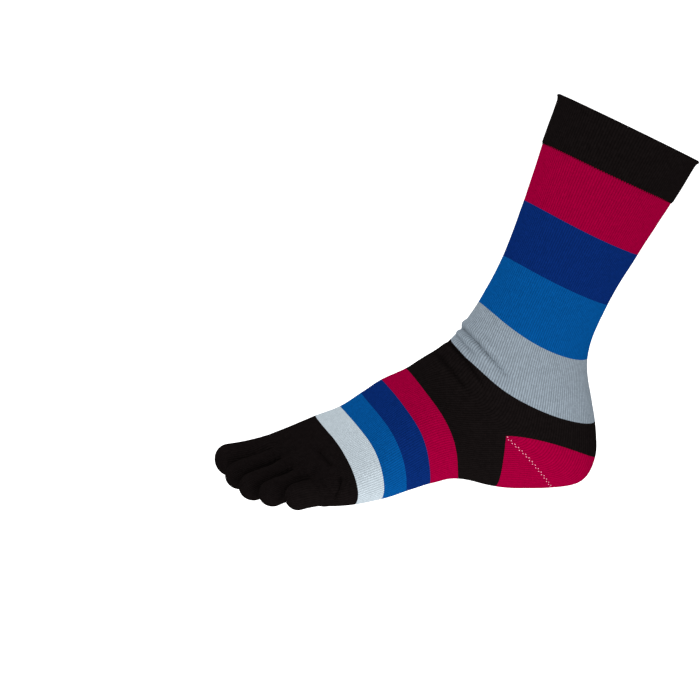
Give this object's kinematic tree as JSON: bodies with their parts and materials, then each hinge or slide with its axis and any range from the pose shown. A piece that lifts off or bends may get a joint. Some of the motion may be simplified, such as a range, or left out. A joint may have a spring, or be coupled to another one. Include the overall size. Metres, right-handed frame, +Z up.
{
  "type": "toe sock",
  "caption": "Striped knitted sock with a separate pocket for each toe, a magenta heel pocket and a doubled black cuff, kept in the form of a worn left foot and lower leg.",
  "frame": {"origin": "on the inner face of the sole, at the middle of the heel, where the heel of a foot sits", "axes": "+X from the heel towards the toes, +Y to the outer side of this left foot, +Z up out of the heel"},
  "size_m": [0.3116, 0.11, 0.2447],
  "materials": {
    "black_welt": "matte",
    "black_knit": "matte",
    "magenta_knit": "matte",
    "navy_knit": "matte",
    "azure_knit": "matte",
    "grey_knit": "matte",
    "silver_knit": "matte"
  },
  "bodies": {
    "root": {"cuff": "black_welt", "leg_magenta": "magenta_knit", "leg_navy": "navy_knit", "leg_azure": "azure_knit", "leg_grey": "grey_knit", "ankle": "black_knit", "heel": "magenta_knit", "foot_magenta": "magenta_knit", "foot_navy": "navy_knit", "foot_azure": "azure_knit", "foot_silver": "silver_knit", "forefoot": "black_knit", "toe_big": "black_knit", "toe_second": "black_knit", "toe_third": "black_knit", "toe_fourth": "black_knit", "toe_little": "black_knit"}
  },
  "joints": []
}
